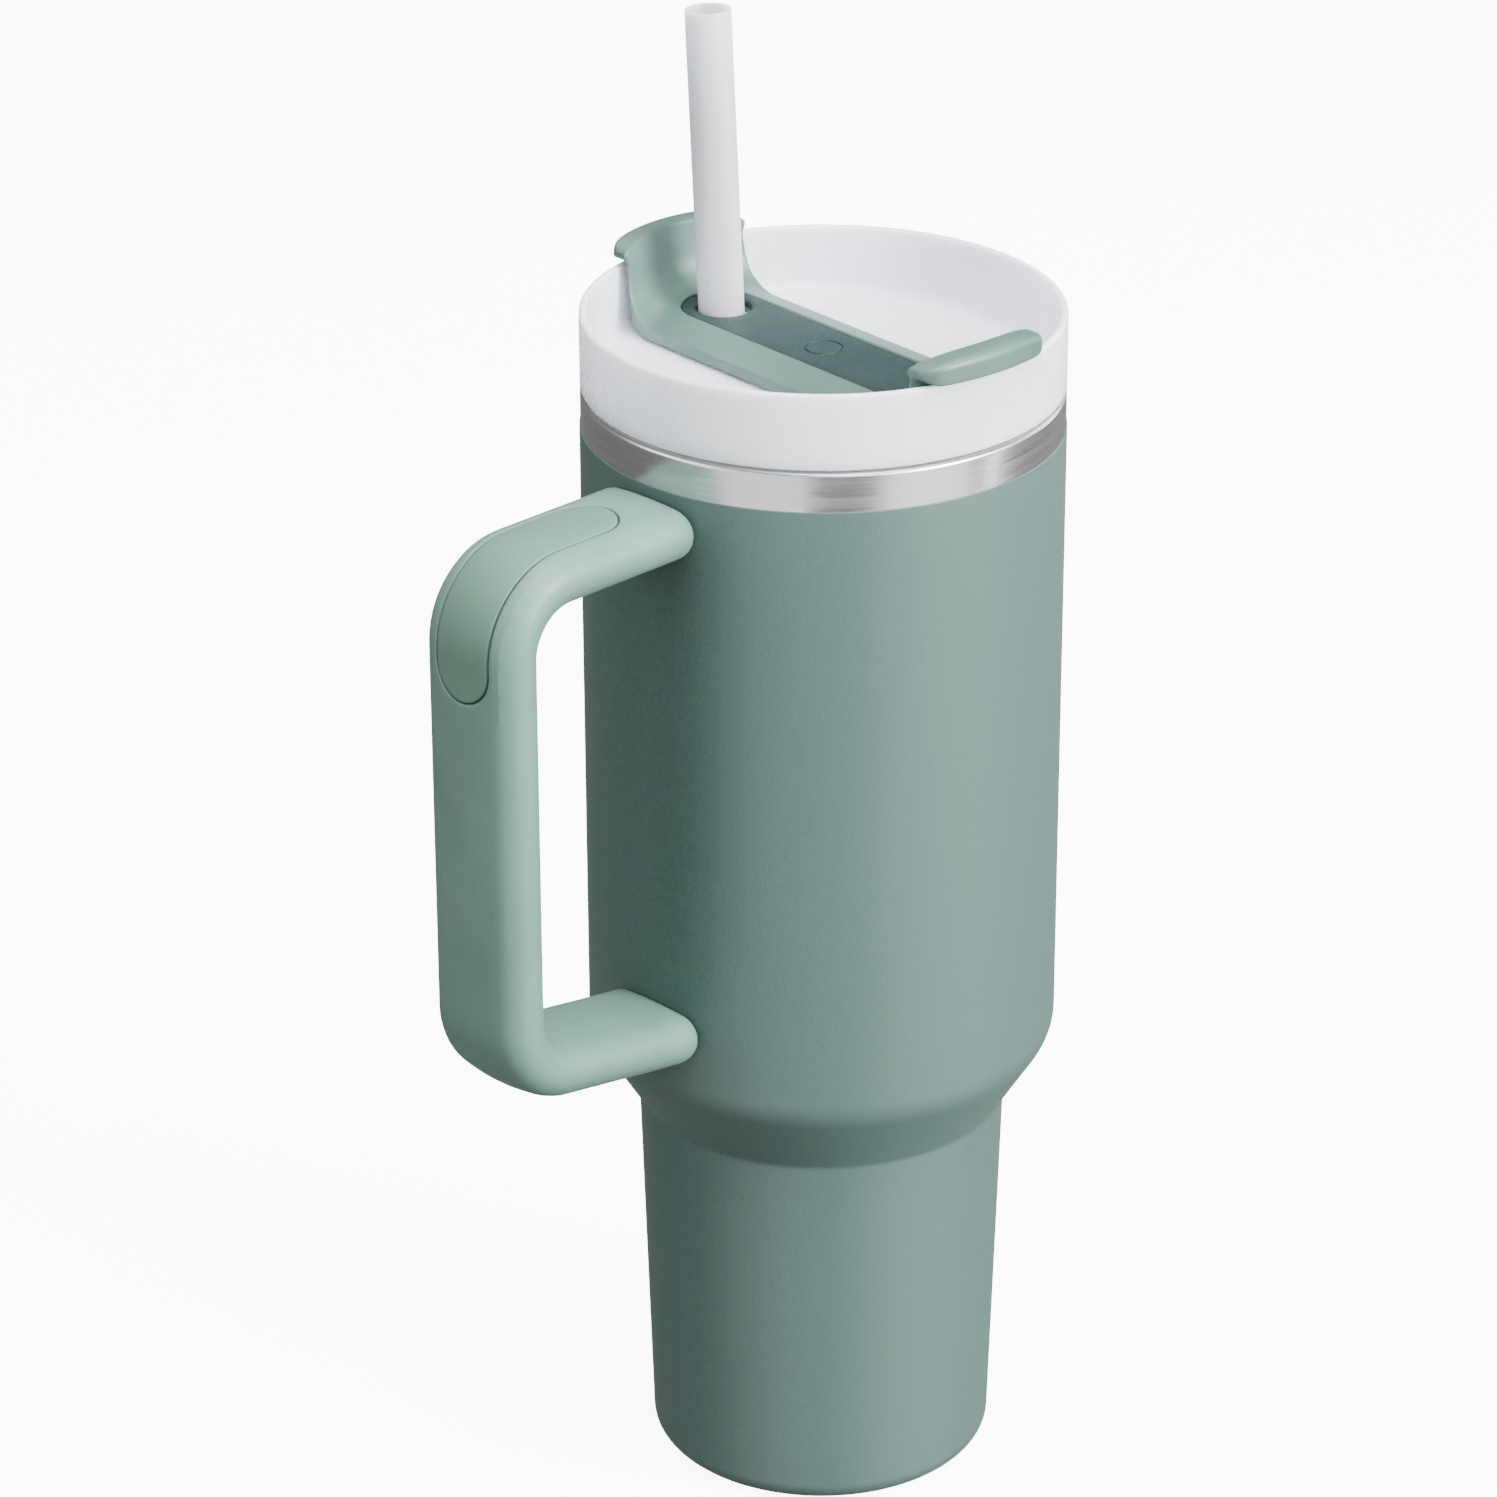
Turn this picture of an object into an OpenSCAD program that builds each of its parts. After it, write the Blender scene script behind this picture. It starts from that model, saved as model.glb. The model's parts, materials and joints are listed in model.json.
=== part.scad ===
// Insulated tumbler with a carrying handle, a screw lid, a rotating cover and a straw.
// Origin: centre of the base on the cup's axis. +Z up, the handle along -X.

/* [Cup] */
// Radius of the upper body
body_r = 49; // [46:0.5:52]
// Height of the steel mouth
mouth_z = 241.2; // [225:0.1:260]
// Height of the bare steel band at the mouth
band_h = 8.1; // [5:0.1:12]
// Radius of the lower body under the shoulder
waist_r = 38.5; // [37:0.1:39]
// Radius of the lower body at the foot
foot_r = 36.1; // [35:0.1:37]
// Height where the shoulder leaves the lower body
shoulder_z = 82.9; // [70:0.1:84]
// Slope of the shoulder, from vertical
shoulder_angle = 32.1; // [28:0.1:36]

/* [Handle] */
// Distance from the cup's axis to the middle of the grip
grip_x = 93.95; // [90:0.05:98]
// Width of the handle
handle_w = 25.3; // [22:0.1:28]
// Thickness of the handle
handle_t = 12; // [11:0.1:13]
// Height of the upper arm's middle
arm_top_z = 225.6; // [218:0.1:230]
// Height of the middle of the lower arm, where its line meets the grip's
arm_low_z = 121.7; // [116:0.1:128]
// Fall of the lower arm towards the cup
arm_fall = 9.4; // [5:0.1:12]
// Bend radius of the handle's middle line
handle_bend = 13.8; // [12:0.1:15]

/* [Lid] */
// Height of the lid above the mouth
lid_h = 16.1; // [15:0.1:18]
// Depth of the deck below the lid's rim
deck_depth = 13.7; // [12.5:0.1:14]
// How far the lid's plug reaches into the mouth
plug_h = 20; // [16:0.5:22]
// Turn of the tightened lid about the cup's axis
lid_turn = -4.4; // [-15:0.1:15]
// Half width of the rotating cover
cover_half_w = 16.5; // [15:0.1:18]

/* [Straw] */
// Outer diameter of the straw
straw_d = 9.4; // [8:0.1:9.6]
// Length of the straw
straw_l = 303; // [290:1:310]
// Lean of the straw from vertical, outwards at the top
straw_lean = 3.4; // [0:0.1:3.6]

/* [Hidden] */
$fn = 96;

// Cup walls
wall_t = 1;
liner_t = 0.8;
vacuum_gap = 1.7;
body_top_z = mouth_z - band_h;
foot_fillet = 5;
shoulder_fillet = 12.1;
waist_fillet = 3;
foot_face_r = foot_r - foot_fillet;
shoulder_end_z = shoulder_z + (body_r - 0.14 - waist_r) / tan(shoulder_angle);
liner_r = body_r - wall_t - vacuum_gap - liner_t;
liner_floor_z = 7.6;
base_t = 1;
vacuum_z = 2.2;
evac_r = 1.5;
ring_r = body_r - 0.2;

// Handle; the grip's stretch runs into the bends by lap
lap = 0.01;
arm_hold_x = body_r - 4;
grip_low_x = grip_x - handle_bend;
low_turn = 90 - arm_fall;
low_tangent = handle_bend * tan(low_turn / 2);
low_bend_z = arm_low_z + low_tangent;
top_bend_z = arm_top_z - handle_bend;
insert_t = 2.2;
insert_half_w = 7.2;
insert_tip_x = 60;
insert_low_z = 203;
bracket_x = 78;
bracket_w = 14;
bracket_t = 5;
screw_x = [64.5, 73];
lower_screw_x = 62;
screw_r = 2;
screw_head_r = 3.6;

// Lid, in its own turn
rim_z = mouth_z + lid_h;
deck_z = rim_z - deck_depth;
deck_t = 2.6;
lid_gap = 0.4;
rim_r = ring_r;
rim_t = 1.5;
well_r = rim_r - rim_t;
deck_fillet = 2.6;
deck_r = well_r - 0.5 - deck_fillet;
plug_r = liner_r - 0.7;
plug_t = 2.4;
plug_z = mouth_z - plug_h;
gasket_h = 3;
gasket_z = plug_z + 2;
gasket_depth = 1.3;
hub_r = 5;
hub_run = 0.08;
boss_r = 10;
boss_t = 4;
straw_rho = 30.6;
opening_half_angle = 13;
opening_half_w = 6.5;

// Rotating cover
cover_gap = 0.3;
cover_z = deck_z + cover_gap;
cover_top_z = deck_z + 5.2;
cover_edge_z = deck_z + 2.4;
cover_round = 1.2;
strip_half_w = 8.4;
strip_end = 39.2;
strip_t = 1.5;
flange_half_w = 15.8;
flange_corner = 6.5;
flange_wall_r = well_r - 0.8;
flange_r = rim_r + 1.8;
flange_top_z = rim_z + 5.5;
flange_drop = 3.3;
flange_bend = 7;
straw_hole_r = 5.7;
seal_t = 2.2;
pad_r = 9;

// Straw: its axis passes the strip's top face at straw_pass
straw_r = straw_d / 2;
straw_wall = 0.7;
straw_run = 0.09;
straw_pass = [-0.6, straw_rho, cover_top_z];
straw_below = (cover_top_z - liner_floor_z - 0.9) / cos(straw_lean);

// Points on an arc about [x, y], from angle a0 to a1, in n steps
function arc(x, y, r, a0, a1, n = 8) =
    [for (i = [0:n]) [x + r * cos(a0 + (a1 - a0) * i / n), y + r * sin(a0 + (a1 - a0) * i / n)]];

// The cup's outer profile, moved inwards by d, from the foot up to height top
function cup_profile(d, low, top) =
    let (
        fall = shoulder_angle,
        s_r = shoulder_fillet - d,
        w_r = waist_fillet + d,
        edge = body_r - 0.14 - d,
        waist = waist_r - d,
        f_r = max(foot_fillet - d, 1),
        end_z = shoulder_end_z - d * tan(fall / 2),
        start_z = shoulder_z - d * tan(fall / 2),
        top_tangent = s_r * tan(fall / 2),
        low_tangent = w_r * tan(fall / 2)
    )
    concat(
        arc(foot_r - d - f_r, low + f_r, f_r, -90, 0, 6),
        arc(waist + w_r, start_z - low_tangent, w_r, 180, 180 - fall, 4),
        arc(edge - s_r, end_z + top_tangent, s_r, -fall, 0, 8),
        [[body_r - d, top]]);

module cup_solid(d, low, top) {
    rotate_extrude($fn = 128)
        polygon(concat([[0, low]], cup_profile(d, low, top), [[0, top]]));
}

module outer_shell() {
    color("#758f8b")
        difference() {
            cup_solid(0, 0, body_top_z);
            cup_solid(wall_t, wall_t, body_top_z + 1);
            translate([0, 0, -1])
                cylinder(r = foot_face_r, h = wall_t + 3);
        }
}

module mouth_ring() {
    color("silver")
        rotate_extrude($fn = 128)
            polygon(concat(
                [[ring_r - wall_t, body_top_z], [ring_r, body_top_z]],
                arc(ring_r - 1.2, mouth_z - 1.2, 1.2, 0, 90, 5),
                [[liner_r + liner_t, mouth_z],
                    [liner_r + liner_t, mouth_z - wall_t],
                    [ring_r - wall_t, mouth_z - wall_t]]));
}

module inner_liner() {
    inset = wall_t + vacuum_gap;
    color("lightgray")
        difference() {
            cup_solid(inset, liner_floor_z - liner_t, mouth_z);
            cup_solid(inset + liner_t, liner_floor_z, mouth_z + 1);
        }
}

// The painted cap that closes the foot, with a shallow ring pressed into it
module base_plate() {
    groove_r = 24;
    color("#758f8b")
        difference() {
            cylinder(r = foot_face_r, h = base_t);
            translate([0, 0, -0.5])
                difference() {
                    cylinder(r = groove_r + 0.8, h = 1);
                    translate([0, 0, -1])
                        cylinder(r = groove_r - 0.8, h = 3);
                }
        }
}

// The pressed disc that closes the vacuum space, with its evacuation hole
module vacuum_bottom() {
    color("lightgray")
        translate([0, 0, vacuum_z])
            difference() {
                cylinder(r = foot_face_r + 2.8, h = wall_t);
                translate([0, 0, -1])
                    cylinder(r = evac_r, h = 3, $fn = 32);
            }
}

module vacuum_seal() {
    color("gray") {
        translate([0, 0, vacuum_z - 0.7])
            cylinder(r = 4, h = 0.7, $fn = 48);
        translate([0, 0, vacuum_z])
            cylinder(r = evac_r, h = wall_t, $fn = 32);
    }
}

module getter() {
    color("dimgray")
        translate([0, 0, liner_floor_z - liner_t - 1.4])
            cylinder(r = 5, h = 1.4, $fn = 48);
}

// Stadium outline of the handle's section, t along X and w along Y
module handle_section(t, w) {
    square([t, w - t], center = true);
    for (side = [-1, 1])
        translate([0, side * (w - t) / 2])
            circle(d = t, $fn = 48);
}

// Runs a section (X = outwards from the loop, Y = sideways) along the handle's loop.
// Each stretch is placed so that +X of the section points away from the loop's inside.
module along_grip(z0, z1) {
    translate([-grip_x, 0, z0])
        rotate([0, 0, 180])
            linear_extrude(z1 - z0)
                children();
}

module along_top_arm(x0, x1) {
    translate([-x1, 0, arm_top_z])
        rotate([0, 90, 0])
            linear_extrude(x1 - x0)
                mirror([1, 0, 0])
                    children();
}

module around_bend(z, turn, start) {
    translate([-grip_low_x, 0, z])
        rotate([90, 0, 0])
            rotate([0, 0, start])
                rotate_extrude(angle = turn, $fn = 96)
                    translate([handle_bend, 0])
                        children();
}

// The lower arm's own frame: origin where its line meets the grip's, X towards the cup
module at_lower_arm() {
    translate([-grip_x, 0, arm_low_z])
        rotate([0, arm_fall, 0])
            children();
}

module handle_loop() {
    along_top_arm(arm_hold_x, grip_low_x)
        handle_section(handle_t, handle_w);
    around_bend(top_bend_z, 90, 90)
        handle_section(handle_t, handle_w);
    along_grip(low_bend_z - lap, top_bend_z + lap)
        handle_section(handle_t, handle_w);
    around_bend(low_bend_z, low_turn, 180)
        handle_section(handle_t, handle_w);
    at_lower_arm()
        translate([low_tangent, 0, 0])
            rotate([0, 90, 0])
                linear_extrude(grip_x - low_tangent - arm_hold_x + 2)
                    handle_section(handle_t, handle_w);
}

// The panel let into the top arm, the outer bend and the grip, with rounded ends
module grip_panel(half_w, grow) {
    out = handle_t / 2 - insert_t;
    tall = insert_t + grow;
    end_x = insert_tip_x + insert_half_w;
    end_z = insert_low_z + insert_half_w;
    along_top_arm(end_x, grip_low_x)
        translate([out, -half_w])
            square([tall, 2 * half_w]);
    translate([-end_x, 0, arm_top_z + out])
        cylinder(r = half_w, h = tall, $fn = 48);
    around_bend(top_bend_z, 90, 90)
        translate([out, -half_w])
            square([tall, 2 * half_w]);
    along_grip(end_z, top_bend_z + lap)
        translate([out, -half_w])
            square([tall, 2 * half_w]);
    translate([-grip_x - out, 0, end_z])
        rotate([0, -90, 0])
            cylinder(r = half_w, h = tall, $fn = 48);
}

module bracket_block(slack) {
    translate([-bracket_x - slack, -bracket_w / 2 - slack, -bracket_t / 2 - slack])
        cube([bracket_x - body_r + 0.2 + slack, bracket_w + 2 * slack, bracket_t + 2 * slack]);
}

// Moves the upright screw frame to the lower arm at distance x from the cup's axis
module at_lower_screw() {
    at_lower_arm()
        translate([grip_x - lower_screw_x, 0, 0])
            children();
}

module lower_bracket_block() {
    at_lower_arm()
        translate([grip_x - bracket_x, -bracket_w / 2, -bracket_t / 2])
            cube([bracket_x - body_r + 1.5, bracket_w, bracket_t]);
}

module handle_frame() {
    color("#a3bfb1")
        difference() {
            handle_loop();
            cylinder(r = body_r, h = mouth_z);
            grip_panel(insert_half_w + 0.15, 2);
            translate([0, 0, arm_top_z])
                bracket_block(0);
            lower_bracket_block();
            for (x = screw_x)
                translate([-x, 0, arm_top_z]) {
                    cylinder(r = screw_r, h = handle_t, $fn = 32);
                    translate([0, 0, bracket_t / 2 - 0.5])
                        cylinder(r = screw_head_r, h = handle_t, $fn = 32);
                }
            at_lower_screw()
                mirror([0, 0, 1])
                    translate([0, 0, bracket_t / 2 - 0.5])
                        cylinder(r = screw_head_r, h = handle_t, $fn = 32);
        }
}

module grip_insert() {
    color("#93ab9f")
        intersection() {
            grip_panel(insert_half_w, 2);
            handle_loop();
        }
}

module upper_bracket() {
    color("silver")
        difference() {
            translate([0, 0, arm_top_z])
                bracket_block(0);
            cylinder(r = body_r, h = mouth_z);
            for (x = screw_x)
                translate([-x, 0, arm_top_z - bracket_t])
                    cylinder(r = screw_r, h = 2 * bracket_t, $fn = 32);
        }
}

module lower_bracket() {
    color("silver")
        difference() {
            lower_bracket_block();
            cylinder(r = body_r, h = mouth_z);
            at_lower_screw()
                translate([0, 0, -bracket_t])
                    cylinder(r = screw_r, h = 2 * bracket_t, $fn = 32);
        }
}

// A pan-head screw with a cross recess, its head's underside at z = 0
module screw(shank, head) {
    difference() {
        union() {
            translate([0, 0, -shank])
                cylinder(r = screw_r, h = shank, $fn = 32);
            cylinder(r = screw_head_r - 0.1, h = head, $fn = 32);
        }
        for (turn = [0, 90])
            rotate(turn)
                translate([-2, -0.4, head - 0.6])
                    cube([4, 0.8, 1]);
    }
}

module upper_screws() {
    color("gray")
        for (x = screw_x)
            translate([-x, 0, arm_top_z + bracket_t / 2])
                screw(bracket_t, 1.2);
}

module lower_screw() {
    color("gray")
        at_lower_screw()
            mirror([0, 0, 1])
                translate([0, 0, bracket_t / 2])
                    screw(bracket_t, 1.2);
}

module screw_cover() {
    color("#a3bfb1")
        at_lower_screw()
            mirror([0, 0, 1])
                translate([0, 0, bracket_t / 2 + 1.3])
                    cylinder(r = screw_head_r, h = handle_t / 2 - bracket_t / 2 - 1.3, $fn = 32);
}

// Kidney-shaped prism about the lid's axis, centred on the direction +Y
module kidney(rho, half_angle, half_w, z, h) {
    translate([0, 0, z])
        rotate([0, 0, 90 - half_angle])
            rotate_extrude(angle = 2 * half_angle, $fn = 96)
                translate([rho - half_w, 0])
                    square([2 * half_w, h]);
    for (side = [-1, 1])
        rotate([0, 0, side * half_angle])
            translate([0, rho, z])
                cylinder(r = half_w, h = h, $fn = 48);
}

// The lid is one moulding, drawn as its rim, its deck and its plug
module lid_rim() {
    color("#e4e6ea")
        rotate([0, 0, lid_turn])
            rotate_extrude($fn = 128)
                polygon(concat(
                    [[deck_r, deck_z - deck_t], [plug_r, deck_z - deck_t],
                        [plug_r, mouth_z + lid_gap], [rim_r, mouth_z + lid_gap]],
                    arc(rim_r - rim_t / 2, rim_z - rim_t / 2, rim_t / 2, 0, 180, 8),
                    arc(deck_r, deck_z + deck_fillet, deck_fillet, 0, -90, 6)));
}

module lid_deck() {
    color("#e0e2e6")
        rotate([0, 0, lid_turn])
            difference() {
                union() {
                    translate([0, 0, deck_z - deck_t])
                        cylinder(r = deck_r, h = deck_t, $fn = 128);
                    translate([0, 0, deck_z - boss_t])
                        cylinder(r = boss_r, h = boss_t);
                }
                translate([0, 0, deck_z - boss_t - 1])
                    cylinder(r = hub_r + hub_run, h = boss_t + 2, $fn = 64);
                translate([0, 0, deck_z - 2.7])
                    cylinder(r = hub_r + 1.9, h = 1.8, $fn = 64);
                kidney(straw_rho, opening_half_angle, opening_half_w, deck_z - 5, 8);
            }
}

module lid_plug() {
    top_z = deck_z - deck_t;
    color("#dcdee2")
        rotate([0, 0, lid_turn])
            rotate_extrude($fn = 128)
                polygon([[plug_r - plug_t, plug_z], [plug_r, plug_z],
                    [plug_r, gasket_z], [plug_r - gasket_depth, gasket_z],
                    [plug_r - gasket_depth, gasket_z + gasket_h],
                    [plug_r, gasket_z + gasket_h], [plug_r, top_z],
                    [plug_r - plug_t, top_z]]);
}

module lid_gasket() {
    inner = plug_r - gasket_depth + 0.1;
    outer = liner_r - 0.3;
    color("whitesmoke")
        rotate_extrude($fn = 128)
            polygon([[inner, gasket_z + 0.1], [outer - 0.6, gasket_z + 0.1],
                [outer, gasket_z + gasket_h / 2], [outer - 0.6, gasket_z + gasket_h - 0.1],
                [inner, gasket_z + gasket_h - 0.1]]);
}

// The bar's low roof-shaped section, run along Y between the flanges
module cover_bar() {
    reach = 43;
    intersection() {
        translate([0, reach, 0])
            rotate([90, 0, 0])
                linear_extrude(2 * reach)
                    polygon([[cover_round - cover_half_w, cover_z],
                        [cover_half_w - cover_round, cover_z],
                        [cover_half_w, cover_z + cover_round], [cover_half_w, cover_edge_z],
                        [strip_half_w + 0.3, cover_top_z], [-strip_half_w - 0.3, cover_top_z],
                        [-cover_half_w, cover_edge_z], [-cover_half_w, cover_z + cover_round]]);
        cylinder(r = well_r - 3.4, h = rim_z);
    }
}

// Half of the flanges' outline from above: straight sides and a corner rounded into radius r
function flange_plan(r) =
    let (
        c = flange_half_w - flange_corner,
        d = sqrt(pow(r - flange_corner, 2) - c * c),
        turn = atan2(d, c)
    )
    concat(
        arc(c, d, flange_corner, 0, turn, 5),
        [[r * cos(turn), r + 2], [-r * cos(turn), r + 2]],
        arc(-c, d, flange_corner, 180 - turn, 180, 5));

module flange_bounds(r, z, h) {
    half = flange_plan(r);
    translate([0, 0, z])
        linear_extrude(h)
            polygon(concat(half, [for (p = half) [-p[0], -p[1]]]));
}

// Both finger flanges: they rise from the bar's ends, follow the well's wall and curl out
// over the rim
module cover_flanges() {
    inner_r = flange_wall_r - 2;
    arch_r = (pow(cover_half_w, 2) + pow(flange_drop, 2)) / (2 * flange_drop);
    lip_z = rim_z + 0.5;
    intersection() {
        rotate_extrude($fn = 128)
            polygon(concat(
                arc(flange_wall_r - 3.4, cover_z + 3.4, 3.4, -90, 0, 5),
                [[flange_wall_r, lip_z], [flange_r - 0.5, lip_z], [flange_r, lip_z + 0.5],
                    [flange_r - 0.6, rim_z + 4], [flange_r - 2.4, flange_top_z],
                    [inner_r + 1, flange_top_z]],
                arc(inner_r - flange_bend, cover_top_z + flange_bend, flange_bend, 0, -90, 6),
                [[inner_r - flange_bend, cover_z]]));
        translate([0, -2 * body_r, flange_top_z - arch_r])
            rotate([-90, 0, 0])
                cylinder(r = arch_r, h = 4 * body_r, $fn = 128);
        union() {
            flange_bounds(flange_wall_r, cover_z, lip_z - cover_z);
            flange_bounds(flange_r, lip_z, 20);
        }
    }
}

// Outline of the strip let into the bar's top, with round ends
module strip(half_w, z, h) {
    end = strip_end - strip_half_w;
    translate([-half_w, -end, z])
        cube([2 * half_w, 2 * end, h]);
    for (side = [-1, 1])
        translate([0, side * end, z])
            cylinder(r = half_w, h = h, $fn = 64);
}

module rotating_cover() {
    seat_z = cover_top_z - strip_t;
    color("#9bb0a9")
        rotate([0, 0, lid_turn])
            difference() {
                union() {
                    cover_bar();
                    cover_flanges();
                }
                strip(strip_half_w + 0.1, seat_z, 30);
                translate([0, straw_rho, cover_z - 1])
                    cylinder(r = straw_hole_r, h = 20, $fn = 64);
                translate([0, straw_rho, cover_z - 1])
                    cylinder(r = straw_hole_r + 2, h = 1 + seal_t, $fn = 64);
                translate([0, -straw_rho, cover_z - 1])
                    cylinder(r = pad_r, h = 2.4, $fn = 64);
                translate([0, 0, cover_z - 1])
                    cylinder(r = hub_r, h = 3.6, $fn = 64);
            }
}

module cover_insert() {
    drop_r = 4;
    color("#63796f")
        rotate([0, 0, lid_turn])
            difference() {
                strip(strip_half_w, cover_top_z - strip_t, strip_t);
                translate([0, straw_rho, cover_z])
                    cylinder(r = straw_hole_r, h = 20, $fn = 64);
                translate([0, 0, cover_top_z - 0.4])
                    difference() {
                        cylinder(r = drop_r, h = 1, $fn = 48);
                        cylinder(r = drop_r - 0.8, h = 3, center = true, $fn = 48);
                    }
            }
}

// The straw's frame in the lid's turn: Z along its axis, origin at the strip's top face
module at_straw() {
    rotate([0, 0, lid_turn])
        translate(straw_pass)
            rotate([-straw_lean, 0, 0])
                children();
}

module straw_seal() {
    color("white")
        difference() {
            rotate([0, 0, lid_turn])
                translate([0, straw_rho, cover_z])
                    cylinder(r = straw_hole_r + 1.9, h = seal_t, $fn = 64);
            at_straw()
                translate([0, 0, -20])
                    cylinder(r = straw_r + straw_run, h = 40, $fn = 64);
        }
}

module closing_pad() {
    color("white")
        rotate([0, 0, lid_turn])
            translate([0, -straw_rho, cover_z])
                cylinder(r = pad_r - 0.1, h = 1.4, $fn = 64);
}

module pivot_pin() {
    low = deck_z - boss_t - 1.9;
    color("#9bb0a9")
        difference() {
            translate([0, 0, low])
                cylinder(r = hub_r, h = cover_z + 2.6 - low, $fn = 64);
            translate([0, 0, deck_z - boss_t - 1.6])
                difference() {
                    cylinder(r = hub_r + 1, h = 1.2, $fn = 64);
                    translate([0, 0, -1])
                        cylinder(r = hub_r - 1.1, h = 4, $fn = 64);
                }
            translate([0, 0, low - 1])
                cylinder(r = 2.4, h = 6, $fn = 48);
        }
}

module pivot_clip() {
    color("gray")
        translate([0, 0, deck_z - boss_t - 1.5])
            difference() {
                cylinder(r = hub_r + 3, h = 1, $fn = 64);
                translate([0, 0, -1])
                    cylinder(r = hub_r - 1, h = 3, $fn = 64);
                translate([0, -1.5, -1])
                    cube([20, 3, 3]);
            }
}

module pivot_seal() {
    color("white")
        translate([0, 0, deck_z - 1.8])
            rotate_extrude($fn = 64)
                translate([hub_r + 0.98, 0])
                    circle(r = 0.85, $fn = 32);
}

module straw() {
    color("#dbe1e8")
        at_straw()
            translate([0, 0, -straw_below])
                difference() {
                    cylinder(r = straw_r, h = straw_l, $fn = 64);
                    translate([0, 0, -1])
                        cylinder(r = straw_r - straw_wall, h = straw_l + 2, $fn = 64);
                }
}

outer_shell();
mouth_ring();
inner_liner();
base_plate();
vacuum_bottom();
vacuum_seal();
getter();
handle_frame();
grip_insert();
upper_bracket();
lower_bracket();
upper_screws();
lower_screw();
screw_cover();
lid_rim();
lid_deck();
lid_plug();
lid_gasket();
rotating_cover();
cover_insert();
straw_seal();
closing_pad();
pivot_pin();
pivot_clip();
pivot_seal();
straw();
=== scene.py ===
import json
import math

import bmesh
import bpy
import numpy as np
from mathutils import Matrix, Vector
from mathutils.geometry import delaunay_2d_cdt


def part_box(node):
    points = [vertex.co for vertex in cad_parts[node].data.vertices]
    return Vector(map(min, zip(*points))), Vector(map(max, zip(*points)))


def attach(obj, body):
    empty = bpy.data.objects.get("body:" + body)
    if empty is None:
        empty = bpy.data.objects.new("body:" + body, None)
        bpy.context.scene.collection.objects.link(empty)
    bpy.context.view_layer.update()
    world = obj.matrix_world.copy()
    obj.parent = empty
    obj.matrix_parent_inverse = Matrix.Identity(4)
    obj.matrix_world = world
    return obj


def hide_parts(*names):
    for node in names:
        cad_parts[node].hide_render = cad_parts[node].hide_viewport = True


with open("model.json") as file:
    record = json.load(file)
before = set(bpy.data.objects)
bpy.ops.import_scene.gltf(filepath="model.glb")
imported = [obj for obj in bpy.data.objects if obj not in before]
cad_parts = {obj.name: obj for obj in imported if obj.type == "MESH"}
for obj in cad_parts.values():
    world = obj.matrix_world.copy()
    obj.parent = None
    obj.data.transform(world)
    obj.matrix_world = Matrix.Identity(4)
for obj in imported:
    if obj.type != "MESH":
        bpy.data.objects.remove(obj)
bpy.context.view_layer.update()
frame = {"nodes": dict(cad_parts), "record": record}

# ---------------------------------------------------------------- sizes, in millimetres

MM = 0.001


def heights(node):
    """A CAD node's lowest and highest Z, in millimetres."""
    low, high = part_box(node)
    return low[2] / MM, high[2] / MM


# The cup; it narrows by TAPER from its top down to the shoulder
BODY_R = 49.0
BODY_TOP = heights("outer_shell")[1]
MOUTH_Z = heights("mouth_ring")[1]
RING_R = 48.8
WAIST_R = 38.5
FOOT_R = 36.1
BASE_R = 31.1
TAPER = 0.14
SHOULDER_Z = 82.9
SHOULDER_ANGLE = math.radians(32.1)
SHOULDER_FILLET = 12.1
WAIST_FILLET = 3.0
WALL = 1.0
LINER_R = 45.5
LINER_T = 0.8
LINER_FLOOR = 7.6

# The lid; THREAD_STEP is the spacing of the rows of points that draw a thread
LID_TURN = math.radians(-4.4)
RIM_Z = heights("lid_rim")[1]
SKIRT_Z = MOUTH_Z + 0.4
DECK_Z = RIM_Z - 13.7
DECK_T = 2.6
DECK_FILLET = 2.6
WELL_R = 47.3
PLUG_R = 44.8
PLUG_T = 2.4
PLUG_Z = heights("lid_plug")[0]
HUB_R = 5.08
GASKET_LOW, GASKET_HIGH = heights("lid_gasket")
GROOVE_DEPTH = 1.3
THREAD_LEAD = 14.0
THREAD_STARTS = 2
THREAD_STEP = 0.35
OPENING_HALF_W = 6.5
OPENING_HALF_ANGLE = math.radians(13)

# The rotating cover and its strip
STRIP_TOP = heights("cover_insert")[1]
STRIP_T = 1.5
STRIP_HALF_W = 8.4
STRIP_END = 39.2
COVER_Z = DECK_Z + 0.3
COVER_EDGE_Z = DECK_Z + 2.7
COVER_HALF_W = 16.5
STRAW_RHO = 30.6
STRAW_HOLE_R = 5.7
FLANGE_TOP = RIM_Z + 5.5
FLANGE_HALF_W = 16.6
FLANGE_CROWN = FLANGE_TOP + 0.5
FLANGE_ARCH_R = 50.0
COVER_GRID = 0.5
MARK_R = 3.8

# The handle: its arms end against the cup at ARM_END_R
ARM_END_R = BODY_R + 0.06
GRIP_X = 93.95
HANDLE_BEND = 13.8
ARM_TOP_Z = 225.6
ARM_LOW_Z = 121.7
ARM_FALL = math.radians(9.4)

# The straw passes through STRAW_PASS, in the lid's frame
STRAW_R = 4.7
STRAW_WALL = 0.7
STRAW_L = 303.0
STRAW_LEAN = math.radians(3.4)
STRAW_PASS = (-0.6, STRAW_RHO, STRIP_TOP)
STRAW_BELOW = (STRIP_TOP - LINER_FLOOR - 0.9) / math.cos(STRAW_LEAN)

# ---------------------------------------------------------------- node materials


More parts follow.
